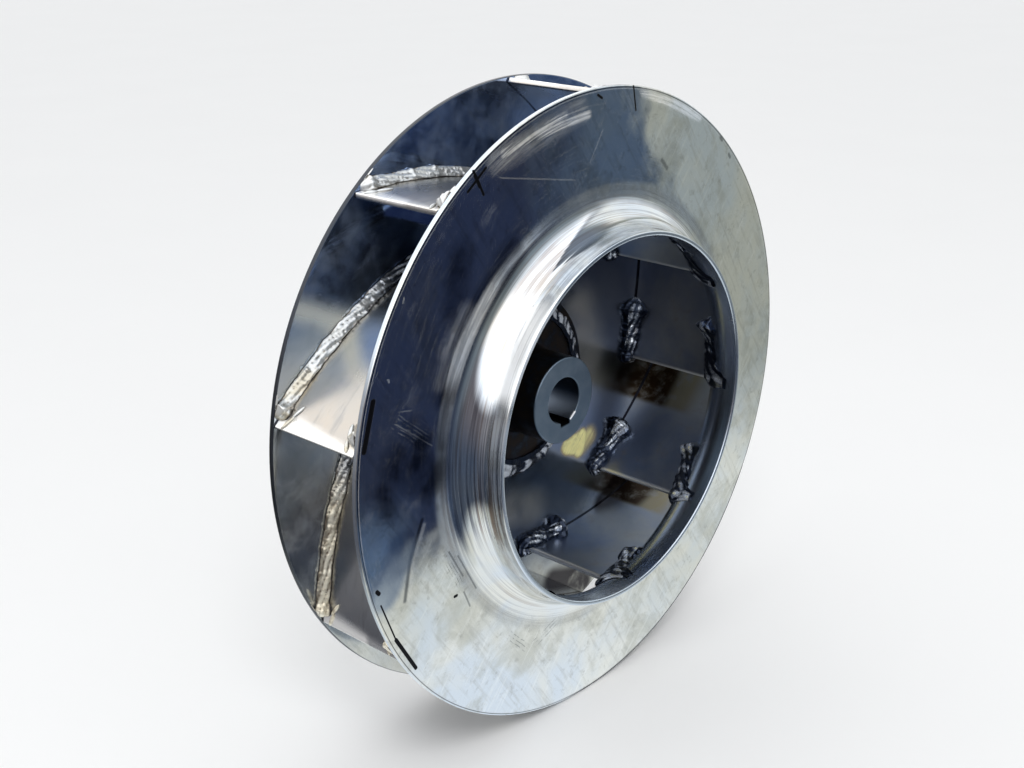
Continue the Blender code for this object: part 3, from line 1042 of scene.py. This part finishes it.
class PolishedSheet(Metal):
    """Polished stainless sheet, wiped and a little stained where it isn't a spun neck."""

    def __init__(self, name, smoothest, has_neck):
        super().__init__(name)
        self.run = self.attribute("run")
        self.stain = self.mottle(19.0, 7.0, 0.66, 0.35)
        self.cloud = self.mottle(28.0, 5.0, 0.64, 0.3)
        self.cross = self.wiped((190.0, 40.0, 22.0), -0.7)
        wipe = self.wiped((150.0, 40.0, 16.0), 0.6)
        smudge = self.ramp(self.mottle(7.0, 4.0, 0.6, 0.3), 0.38, 0.62)
        self.flat = self.ramp(self.radius, 0.203, 0.226) if has_neck else 1.0
        self.base = self.blend(smudge, (0.62, 0.67, 0.73), (0.72, 0.71, 0.66))
        for value, low, high, most, tone in (
            (self.stain, 0.46, 0.66, 0.52, (0.40, 0.40, 0.35)),
            (self.mottle(90.0, 4.0, 0.7, 0.2), 0.54, 0.74, 0.42, (0.27, 0.27, 0.25)),
            (wipe, 0.50, 0.70, 0.34, (0.38, 0.38, 0.36)),
            (self.cross, 0.54, 0.72, 0.30, (0.86, 0.87, 0.86)),
        ):
            self.tint(self.ramp(value, low, high, 0.0, most) * self.flat, tone)
        self.rough = self.ramp(self.cloud, 0.35, 0.70, smoothest, 2.2 * smoothest)
        hazy = self.ramp(self.cloud, 0.50, 0.72) * self.ramp(self.cross, 0.40, 0.62)
        self.haze = hazy * self.ramp(self.cloud, 0.30, 0.40, 0.0, 0.05) * self.flat
        self.height = self.mottle(12.0, 2.0, 0.5) * self.lerp(self.flat, 0.00010, 0.00050)
        self.height += self.cloud * 0.000012 + wipe * 0.000006


def spin_neck(metal, outside):
    """Spinning lines round the neck, duller at its foot, with dark lines partly painted as shade, a
    zone of painted sheen and a painted highlight.
    """
    broad = metal.ring_lines(metal.run, 300.0, 1.1)
    fine = metal.ring_lines(metal.run, 950.0, 2.2)
    # The dark lines are real spinning marks with painted shade in their strength: it is set by
    # height, and weakest in the band of the painted highlight.
    line_shade_by_height = metal.ramp(metal.z, 0.080, 0.050, 0.30, 1.0)
    line_shade_by_height |= metal.ramp(metal.z, 0.135, 0.160, 0.0, 0.65)
    line_shade_by_height *= metal.ramp(metal.z, -0.090, -0.050, 0.35, 1.0)
    patch = metal.ramp(metal.mottle(12.0, 3.0, 0.55), 0.38, 0.60, 0.45, 1.0)
    depth = metal.ramp(metal.radius, 0.230, 0.205) * patch * line_shade_by_height
    brown = metal.ramp(metal.ring_lines(metal.run, 90.0, 0.9), 0.42, 0.58)
    tone = metal.blend(brown, (0.16, 0.17, 0.21), (0.24, 0.17, 0.13))
    metal.tint(metal.ramp(broad, 0.52, 0.42) * depth * 0.82, tone)
    metal.tint(metal.ramp(fine, 0.46, 0.36) * depth * 0.66, tone)
    metal.rough += metal.band(metal.radius, 0.2100, 0.2260, 0.0100) * outside * 0.19

    # Painted sheen: a band of paler, duller metal on the neck's left side, along the spinning
    # lines.
    brushed = metal.ramp(metal.y, -0.142, -0.149) * outside
    brushed *= metal.band(metal.z, -0.045, 0.060, 0.030) * metal.ramp(metal.x, -0.120, -0.160)
    brushed *= metal.ramp(metal.z, 0.000, 0.040, 0.13, 0.34)
    metal.haze |= brushed * metal.ramp(broad, 0.40, 0.55, 0.5, 1.0)
    # Painted highlight: near-white, dull metal high on the neck's left side.
    painted_highlight = metal.ramp(metal.y, -0.138, -0.146) * outside
    painted_highlight *= metal.band(metal.z, 0.066, 0.148, 0.020) * metal.ramp(metal.x, -0.090, -0.130)
    painted_highlight *= metal.ramp(broad, 0.38, 0.52, 0.70, 1.0)
    metal.tint(painted_highlight, (0.97, 0.97, 0.97))
    metal.haze |= painted_highlight * 0.60
    metal.haze |= metal.ramp(fine, 0.54, 0.66) * depth * 0.07
    metal.height += broad * metal.lerp(depth, 0.000004, 0.00010)
    metal.height += fine * metal.lerp(depth, 0.000002, 0.000034)


def mark_shroud(metal, outside):
    """Smears, scored lines, painted shade and light of a slight fold with a painted bluish
    reflection beside it, and darker places on the shroud's outer side.
    """
    combed = metal.ramp(metal.ring_lines(metal.run, 520.0, 5.0, 3.0), 0.40, 0.62, 0.30, 1.0)
    light = (metal.marks(SMEARS) * 0.60 | metal.marks(SOFT_SMEARS) * 0.21) * combed
    scored = metal.marks(SCORED_LIGHT) | metal.marks(SCRATCHES_LIGHT, metal.hatching)
    # Faint scored lines together with the fold's painted highlight.
    faint_lines_and_fold_light = metal.marks(SCORED_FAINT) | metal.marks(FOLD_LIGHT) * 1.6
    metal.haze |= (light | scored * 0.16 | faint_lines_and_fold_light * 0.10) * outside
    scuffed = metal.ramp(metal.ring_lines(metal.run, 420.0, 7.0, 4.0), 0.48, 0.66)
    metal.haze += scuffed * metal.ramp(metal.stain, 0.44, 0.62, 0.006, 0.045) * metal.flat

    # Real scored lines together with the fold's painted shade.
    gouges_and_fold_shade = metal.marks(SCORED_DARK) | metal.marks(SCRATCHES_DARK, metal.hatching)
    gouges_and_fold_shade = gouges_and_fold_shade * 0.62 | metal.marks(FOLD_SHADE) * 0.82
    metal.tint(gouges_and_fold_shade * outside, (0.09, 0.10, 0.11))
    streaked = metal.ramp(metal.ring_lines(metal.run, 340.0, 4.0, 4.0), 0.36, 0.60, 0.62, 1.0)
    patchy = metal.marks(DULL_PATCHES) * metal.ramp(metal.stain, 0.40, 0.60, 0.50, 0.95)
    dull = metal.marks(DULL_ARCS) * 0.80 * streaked | patchy
    metal.tint(dull * outside, (0.07, 0.08, 0.10))
    # Painted reflection: a bluish tone on the outer side of the fold.
    fold_reflection = metal.marks(BLUE_REFLECTION_PATCHES) * metal.marks(FOLD_SIDE, metal.beside)
    metal.tint(fold_reflection * outside * 0.80, (0.27, 0.33, 0.42))


def edge_shroud(metal, outside):
    """The shroud's duller inner side, a painted dark reflection and a painted highlight along its
    rim, painted shade on its lower rim, and the pen strokes.
    """
    reach = metal.join(metal.radius - FILLET_RADIUS_PLACE, metal.y - FILLET_Y, 0.0)
    reach = metal.vector("LENGTH", reach)
    fillet = metal.ramp(reach, NECK_FILLET + 0.0022, NECK_FILLET + 0.0034)
    hidden = fillet * metal.ramp(metal.radius, 0.217, 0.215) | 1.0 - outside
    metal.tint(hidden * 0.7, (0.46, 0.53, 0.62))
    metal.rough += hidden * 0.20
    from_rim = WHEEL_RADIUS - metal.radius
    # Painted dark reflection of the rolled rim: a band just inside the edge.
    rim_dark_reflection = metal.band(from_rim, 0.0014, 0.0022, 0.0006)
    metal.tint(rim_dark_reflection * outside * 0.85, (0.03, 0.03, 0.04))
    # Painted highlight: a pale band just inside the dark one.
    metal.haze |= metal.band(from_rim, 0.0026, 0.0036, 0.0008) * 0.18
    # Painted shade on the lower rim, broken up by the stain noise.
    lower_rim_shade = metal.ramp(from_rim, 0.0024, 0.0018) * metal.ramp(metal.z, -0.100, -0.150)
    lower_rim_shade *= metal.ramp(metal.x, -0.060, 0.000, 0.0, 0.92)
    metal.tint(lower_rim_shade * metal.ramp(metal.stain, 0.36, 0.46), (0.02, 0.02, 0.025))
    ink = metal.marks([(*stroke, PEN_SOFTNESS) for stroke in PEN_STROKES]) * outside
    metal.tint(ink, (0.008, 0.008, 0.011))
    metal.rough = metal.lerp(ink, metal.rough, 0.40)


def shroud_sheet():
    metal = PolishedSheet("polished_shroud", 0.034, has_neck=True)
    outside = metal.ramp(metal.y, -0.1155, -0.1163, smooth=False)
    spin_neck(metal, outside)
    mark_shroud(metal, outside)
    edge_shroud(metal, outside)
    return metal.finish()


def plate_sheet():
    """The back plate's sheet: painted bluish reflection above, painted tan reflection below,
    painted shade deep inside, with heat marks and wear on its front.
    """
    metal = PolishedSheet("polished_plate", 0.055, has_neck=False)
    front = metal.ramp(metal.y, BACK_FRONT_Y + 0.0020, BACK_FRONT_Y + 0.0012)
    # Painted reflection: a bluish tone that grows higher up the plate's front, greyer at the top.
    painted_blue_reflection = metal.blend(metal.ramp(metal.stain, 0.40, 0.62), (0.18, 0.29, 0.55), (0.35, 0.46, 0.69))
    painted_blue_reflection = metal.blend(metal.ramp(metal.z, 0.110, 0.165), (0.31, 0.37, 0.45), painted_blue_reflection)
    metal.tint(metal.ramp(metal.z, -0.060, 0.160, 0.20, 0.90) * front, painted_blue_reflection)
    # Painted reflection: a tan tone low on the plate's front.
    metal.tint(metal.ramp(metal.z, -0.200, -0.260, 0.0, 0.6) * front, (0.50, 0.46, 0.37))
    paled = metal.marks(PALE_PATCHES) * metal.ramp(metal.cloud, 0.30, 0.55, 0.7, 1.0) * front
    metal.tint(paled * 0.9, (0.80, 0.80, 0.74))
    metal.haze |= paled * 0.30
    veil = metal.ramp(metal.cloud, 0.38, 0.68, 0.04, 0.22) * front
    metal.haze |= veil * metal.ramp(metal.radius, 0.225, 0.262)
    # Painted shade: darker, bluish sheet towards the hub, deep inside the wheel.
    painted_inner_shade = metal.ramp(metal.radius, 0.240, 0.190, 0.0, 0.86) * front
    metal.tint(painted_inner_shade, (0.14, 0.17, 0.23))
    metal.rough += painted_inner_shade * 0.12
    worn = metal.marks(WORN_PATCHES) * metal.ramp(metal.cloud, 0.30, 0.55, 0.6, 1.0) * front
    metal.tint(worn, (0.38, 0.38, 0.37))
    metal.haze |= worn * 0.22
    metal.tint(metal.marks(SHADE_PATCHES) * front * 0.75, (0.03, 0.035, 0.05))

    # Heat tint, made pale and fully dull so that it also shows as a painted golden glow.
    heat_tint_and_glow = (metal.marks(GOLDEN_PATCHES) | metal.marks(GOLDEN_FRINGES) * 0.60) * front
    heat_tint_and_glow *= metal.ramp(metal.cloud, 0.35, 0.55, 0.65, 1.0)
    heat_tint_and_glow *= metal.ramp(metal.cross, 0.60, 0.42, 0.80, 1.0)
    gold = metal.blend(metal.ramp(heat_tint_and_glow, 0.30, 0.80), (0.50, 0.38, 0.17), (1.0, 0.91, 0.37))
    metal.tint(metal.ramp(heat_tint_and_glow, 0.0, 0.60), gold)
    metal.haze |= heat_tint_and_glow
    # Painted shade: dark patches in the passages under the blades' leading ends.
    passage_shade = metal.marks(SHADED_PASSAGE_PATCHES) * metal.ramp(metal.stain, 0.75, 0.50)
    metal.tint(passage_shade * front, (0.055, 0.05, 0.055))
    rim = metal.ramp(WHEEL_RADIUS - metal.radius, 0.0010, 0.0003)
    metal.tint(rim, (0.045, 0.05, 0.06))
    metal.rough += rim * 0.30
    return metal.finish()


def blade_sheet():
    """The blades' sheet: dull inside the wheel and painted darker there as shade, with heat tint
    and soot beside the welds and a painted highlight at the outer end.
    """
    metal = Metal("blade_sheet")
    inside = metal.attribute("inside")
    lead = metal.attribute("lead")
    smudge = metal.mottle(11.0, 5.0, 0.6, 0.3)
    cloud = metal.mottle(38.0, 5.0, 0.64, 0.3)
    brushed = metal.wiped((26.0, 150.0, 26.0), distortion=0.2)
    uneven = (smudge - 0.5) * 0.8
    hot = metal.math("ADD", metal.attribute("heat"), uneven, clamp=True)
    warm = metal.math("ADD", metal.attribute("tint"), uneven, clamp=True)
    patch = metal.ramp(smudge, 0.35, 0.65)

    metal.base = metal.blend(patch, (0.33, 0.35, 0.37), (0.40, 0.40, 0.38))
    # Tones by height on the blades' outer part, painted reflection: bluish lower down, warmer
    # higher up.
    outer = metal.blend(metal.ramp(metal.z, -0.100, -0.030), (0.42, 0.46, 0.50), (0.48, 0.42, 0.35))
    outer = metal.blend(cloud, outer, (0.40, 0.40, 0.40))
    metal.tint(metal.ramp(metal.radius, 0.255, 0.300), outer)
    metal.tint(metal.ramp(brushed, 0.52, 0.72, 0.0, 0.40), (0.22, 0.23, 0.24))
    metal.tint(metal.ramp(warm, 0.45, 0.90, 0.0, 0.50), (0.47, 0.42, 0.34))
    # Painted shade: a darker, bluish tone on the faces inside the wheel.
    inner_shade_tone = metal.blend(patch, (0.24, 0.285, 0.385), (0.365, 0.38, 0.405))
    inner_shade_tone = metal.blend(metal.ramp(cloud, 0.55, 0.75, 0.0, 0.5), inner_shade_tone, (0.27, 0.25, 0.22))
    # Painted shade on the inside faces under the leading ends: olive-brown away from the plate,
    # near black nearer it.
    passage_shade = metal.marks(SHADED_BLADE_SPOTS) * metal.ramp(cloud, 0.80, 0.50)
    inner_shade_tone = metal.blend(passage_shade * metal.ramp(metal.y, -0.095, -0.070), inner_shade_tone, (0.30, 0.27, 0.20))
    inner_shade_tone = metal.blend(passage_shade * metal.ramp(metal.y, -0.058, -0.044), inner_shade_tone, (0.035, 0.018, 0.008))
    dull = inside * metal.ramp(metal.radius, 0.325, 0.270)
    metal.tint(dull, inner_shade_tone)
    metal.tint(metal.ramp(hot, 0.70, 0.95, 0.0, 0.80), (0.07, 0.06, 0.06))
    # Painted highlight: near-white, dull metal along the outer end of the blade's outer side.
    painted_highlight = metal.attribute("tip") * (1.0 - inside)
    metal.tint(painted_highlight, (0.95, 0.94, 0.92))
    metal.tint(lead * 0.9, (0.62, 0.62, 0.60))
    metal.tint(metal.ramp(metal.attribute("seam"), 0.05, 0.80), (0.02, 0.02, 0.03))

    metal.rough = metal.ramp(smudge, 0.35, 0.70, 0.20, 0.29) + dull * 0.08
    metal.rough += metal.ramp(hot, 0.5, 0.9, 0.0, 0.2)
    metal.haze = metal.ramp(cloud, 0.50, 0.75, 0.0, 0.06) | painted_highlight * 0.45 | lead * 0.30
    metal.height = cloud * 0.00003 + metal.mottle(350.0, 3.0) * 0.000004 + brushed * 0.000012
    return metal.finish()


def weld_metal():
    """Weld metal: pale ropy beads with dark scale in their furrows, silver higher up and cream
    lower down, with painted shade near the plate and a painted sheen, blacker inside the wheel and
    near the hub as scale and painted shade.
    """
    metal = Metal("weld_metal")
    patch = metal.mottle(45.0, 3.0)
    grain = metal.mottle(700.0, 4.0, 0.65)
    pits = metal.mottle(330.0, 2.0, 0.5)
    uneven = (patch - 0.5) * 0.8
    crown = metal.attribute("cap") + uneven
    inner = metal.ramp(metal.radius, 0.250, 0.222)
    by_hub = metal.ramp(metal.radius, 0.125, 0.105)
    by_shroud = metal.ramp(metal.y, -0.060, -0.085)
    standing = metal.ramp(metal.y, BACK_FRONT_Y - 0.0022, BACK_FRONT_Y - 0.0056)
    yellow = metal.ramp(metal.z, 0.020, -0.060, 0.0, 0.75)

    metal.base = metal.blend(metal.ramp(patch, 0.42, 0.64), (0.66, 0.67, 0.66), (0.56, 0.51, 0.40))
    silver = metal.blend(patch, (0.70, 0.72, 0.74), (0.55, 0.57, 0.58))
    metal.tint(metal.ramp(metal.z, 0.060, 0.130, 0.0, 0.8), silver)
    cream = metal.blend(metal.ramp(crown, 0.40, 0.85), (0.30, 0.25, 0.18), (0.86, 0.79, 0.62))
    metal.tint(yellow, cream)
    blotch = metal.ramp(metal.mottle(130.0, 2.0, 0.5), 0.50, 0.36, 0.0, 0.75)
    metal.tint(blotch * yellow, (0.24, 0.19, 0.13))
    # Painted shade: darker brown on the beads' lower part next to the plate.
    low = (1.0 - standing) * metal.ramp(patch, 0.62, 0.42, 0.25, 0.85)
    metal.tint(low * yellow * metal.ramp(inner, 1.0, 0.0), (0.20, 0.165, 0.12))
    metal.tint(inner, (0.72, 0.76, 0.82))
    brown = metal.blend(inner, (0.19, 0.155, 0.11), (0.10, 0.12, 0.17))
    metal.tint(metal.ramp(crown, 0.66, 0.18) * 0.80, brown)
    # Black inside the wheel on all but the beads' crowns, partly scale and partly painted shade;
    # less near the shroud, more near the hub.
    peak = metal.lerp(by_hub, 1.00, 0.84) - by_shroud * 0.04
    soot_and_shade = metal.ramp(crown, peak, peak - 0.28) * inner
    toe = metal.ramp(metal.attribute("toe") + uneven, 0.30, 0.80) * 0.92
    scale = toe | soot_and_shade | metal.ramp(pits, 0.68, 0.78, 0.0, 0.6)
    metal.tint(scale, metal.blend(inner, (0.035, 0.033, 0.035), (0.030, 0.038, 0.058)))

    metal.rough = metal.lerp(scale, 0.34, 0.42) - inner * 0.14
    metal.rough += metal.ramp(grain, 0.4, 0.7, 0.0, 0.08)
    # Painted sheen: paler, duller metal on the cream beads, strongest higher on the bead.
    sheen = yellow * metal.ramp(inner, 1.0, 0.0, 0.0, 0.22) * metal.lerp(standing, 0.5, 1.7)
    sheen += metal.lerp(by_shroud, 0.24, 0.28)
    metal.haze = (1.0 - scale) * metal.lerp(by_hub, sheen, 0.58)
    metal.height = grain * 0.00006 + pits * metal.lerp(by_hub, 0.00015, 0.0010)
    return metal.finish()


def turned_steel():
    """Matt turned steel: fine rings on the faces, near-black on all but the end face as heat scale
    and painted shade, painted light and shade in the bore and keyway, and a painted highlight on
    the bore's edge.
    """
    metal = Metal("turned_steel")
    smudge = metal.mottle(60.0, 4.0)
    patch = metal.ramp(smudge, 0.3, 0.7)
    metal.base = metal.blend(patch, (0.19, 0.25, 0.32), (0.25, 0.31, 0.38))
    behind = metal.ramp(metal.y, HUB_FRONT_Y + 0.0008, HUB_FRONT_Y + 0.0020)
    outer = metal.ramp(metal.radius, HUB_BOSS_RADIUS - 0.004, HUB_BOSS_RADIUS - 0.001)
    # Near-black on the boss's side and the flange, partly heat scale and partly painted shade.
    scale = metal.blend(metal.ramp(smudge, 0.4, 0.6), (0.028, 0.026, 0.030), (0.055, 0.042, 0.034))
    metal.tint(behind * outer * metal.ramp(smudge, 0.25, 0.55, 0.80, 1.0), scale)
    # Painted light and shade in the bore: pale on its lower side, near black on its upper side.
    bore = metal.ramp(metal.radius, BORE_RADIUS + 0.0006, BORE_RADIUS + 0.0002)
    bore_light_and_shade = metal.blend(metal.ramp(metal.z, -0.014, 0.002), (0.25, 0.30, 0.38), (0.014, 0.021, 0.032))
    metal.tint(bore * behind, bore_light_and_shade)
    # Painted shade: the keyway's walls near black.
    keyway_shade = metal.band(metal.radius, BORE_RADIUS + 0.0003, BORE_RADIUS + 0.0080, 0.0004)
    metal.tint(keyway_shade * behind, (0.006, 0.007, 0.010))
    at_front = metal.ramp(metal.y, HUB_FRONT_Y + 0.0022, HUB_FRONT_Y + 0.0012)
    # Painted highlight: near-white, dull metal on the bore's front edge.
    edge = metal.marks(PAINTED_BORE_GLINTS) * at_front
    metal.tint(edge, (0.95, 0.96, 0.98))
    metal.rough = metal.ramp(smudge, 0.3, 0.7, 0.42, 0.52)
    metal.haze = edge * 0.60
    metal.height = metal.ring_lines(metal.radius + metal.y, 1500.0, 4.0) * 0.000010
    return metal.finish()


# Studio

def paint_room(room, side, up):
    """What the metal mirrors, by degrees to the side and degrees above the horizon."""
    room.base = (0.040, 0.050, 0.070)
    near_side = room.ramp(side, 4.0, 38.0)
    low_tone = room.blend(room.ramp(side, 15.0, -25.0), (0.13, 0.15, 0.16), (0.095, 0.085, 0.09))
    room.tint(room.ramp(up, -20.0, 3.0), low_tone)
    room.tint(near_side * room.ramp(up, 6.0, -8.0), (0.013, 0.018, 0.037))
    cloudy = room.band(side, 6.0, 46.0, 18.0)
    ceiling = room.ramp(up, room.lerp(cloudy, 5.0, 8.0), room.lerp(cloudy, 19.0, 48.0))
    room.tint(ceiling, (0.95, 0.96, 0.97))
    edge = room.ramp(side, 46.0, 51.5) * room.ramp(up, -32.0, -12.0)
    room.tint(edge * 0.9, (0.050, 0.070, 0.100))
    wall_side = room.ramp(up, -8.0, -10.2, 53.2, 54.9, smooth=False)
    wall = room.ramp(side, wall_side, wall_side + 0.8) * room.ramp(up, 60.0, 35.0)
    wall_tone = room.blend(room.ramp(up, -18.5, -25.5), (0.215, 0.23, 0.215), (0.45, 0.47, 0.46))
    room.tint(wall, wall_tone)
    window = room.band(side, 51.0, 90.0, 9.0) * room.band(up, 0.0, 42.0, 14.0)
    room.tint(window, (0.60, 0.62, 0.62))
    behind = room.ramp(side, 108.0, 125.0) | room.ramp(side, -60.0, -130.0)
    back_tone = room.blend(room.ramp(up, -26.0, 4.0), (0.07, 0.07, 0.08), (0.26, 0.25, 0.25))
    room.tint(behind, room.blend(ceiling, back_tone, (0.95, 0.95, 0.95)))
    glow = room.ramp(up, -24.0, -29.0) * room.ramp(side, 41.2, 38.9) * near_side
    room.tint(glow, (0.058, 0.089, 0.146))
    tilt = room.ramp(side, 37.8, 41.8, -1.9, 1.3, smooth=False) * room.ramp(side, 35.0, 37.8)
    line = room.lerp(near_side, -37.0, -27.4) + tilt
    line_end = line - room.lerp(near_side, 11.0, 2.6)
    far_floor = room.ramp(up, line_end, line_end - 6.0)
    floor_tone = room.blend(far_floor, (0.42, 0.44, 0.43), (0.51, 0.54, 0.56))
    room.tint(room.ramp(up, line, line_end), floor_tone)


def make_world():
    """A pale studio for the eye, and for the metal a room with bright and dark sides."""
    made = bpy.data.worlds.new("studio")
    made.use_nodes = True
    room = Shading(made.node_tree)
    x, y, z = room.split(room.node("ShaderNodeTexCoord", output="Generated"))
    side = room.math("ARCTAN2", x, y * -1.0) * math.degrees(1.0)
    up = room.math("ARCSINE", z) * math.degrees(1.0)
    paint_room(room, side, up)
    mirrored = room.node("ShaderNodeBackground", {"Color": room.base, "Strength": ROOM_STRENGTH})
    plain = room.node("ShaderNodeBackground", {"Color": STUDIO_TONE, "Strength": 1.0})
    glossy = room.node("ShaderNodeLightPath", output="Is Glossy Ray")
    mixed = room.node("ShaderNodeMixShader", {0: glossy, 1: plain, 2: mirrored})
    room.node("ShaderNodeOutputWorld", {"Surface": mixed})
    bpy.context.scene.world = made


def make_floor():
    """A large plain pale floor that the metal doesn't mirror."""
    sides = ((-1, -1), (1, -1), (1, 1), (-1, 1))
    corners = [(x * FLOOR_REACH, y * FLOOR_REACH, FLOOR_Z) for x, y in sides]
    mesh = bpy.data.meshes.new("floor")
    mesh.from_pydata(corners, [], [(0, 1, 2, 3)])
    material = bpy.data.materials.new("floor_paint")
    material.use_nodes = True
    paint = Shading(material.node_tree)
    mottle = paint.noise(paint.node("ShaderNodeTexCoord", output="Object"), 3.0)
    shader = paint.node("ShaderNodeBsdfPrincipled", {
        "Base Color": paint.blend(mottle, (0.87, 0.87, 0.87), (0.89, 0.89, 0.89)),
        "Roughness": 0.8,
        "Specular IOR Level": 0.1,
    })
    paint.node("ShaderNodeOutputMaterial", {"Surface": shader})
    mesh.materials.append(material)
    floor = add_object("floor", mesh)
    floor.visible_glossy = False


def look_along(item, place, direction):
    """Put a lamp or the camera in its place and point it."""
    item.location = place
    item.rotation_mode = "QUATERNION"
    item.rotation_quaternion = direction.to_track_quat("-Z", "Y")


def make_lamp():
    """A soft square lamp that shines on the wheel's middle."""
    data = bpy.data.lights.new("key", "AREA")
    data.shape = "SQUARE"
    data.size = LAMP_SIZE
    data.energy = LAMP_POWER
    lamp = add_object("key", data)
    lamp.visible_glossy = False
    look_along(lamp, LAMP_PLACE, -LAMP_PLACE)


def make_camera():
    data = bpy.data.cameras.new("camera")
    data.sensor_width = SENSOR_WIDTH
    data.lens = CAMERA_LENS
    camera = add_object("camera", data)
    look_along(camera, CAMERA_PLACE, CAMERA_FORWARD)
    bpy.context.scene.camera = camera


def main():
    make_camera()
    make_world()
    make_floor()
    make_lamp()
    bpy.context.scene.view_settings.view_transform = "Standard"
    make_shroud(shroud_sheet())
    make_back_plate(plate_sheet())
    hub_material = turned_steel()
    make_hub(hub_material)
    make_hub_disc(hub_material)
    blade_material = blade_sheet()
    bead_material = weld_metal()
    for index in range(BLADE_COUNT):
        make_blade(index, blade_material)
        make_blade_bead(index, False, bead_material)
        make_blade_bead(index, True, bead_material)
    make_ring_bead(
        "hub_bead_front", "hub_weld_front", HUB_FLANGE_RADIUS, HUB_DISC_FRONT_Y, -1.0,
        HUB_BEAD_LEG, HUB_BEAD_HEIGHT, HUB_BEAD_PITCH, HUB_BEAD_EXTRA, bead_material,
    )
    make_ring_bead(
        "hub_bead_rear", "hub_weld_rear", HUB_BOSS_RADIUS, BACK_REAR_Y, 1.0,
        HUB_REAR_BEAD_LEG, HUB_REAR_BEAD_HEIGHT, HUB_REAR_BEAD_PITCH, 0.0, bead_material,
    )


main()
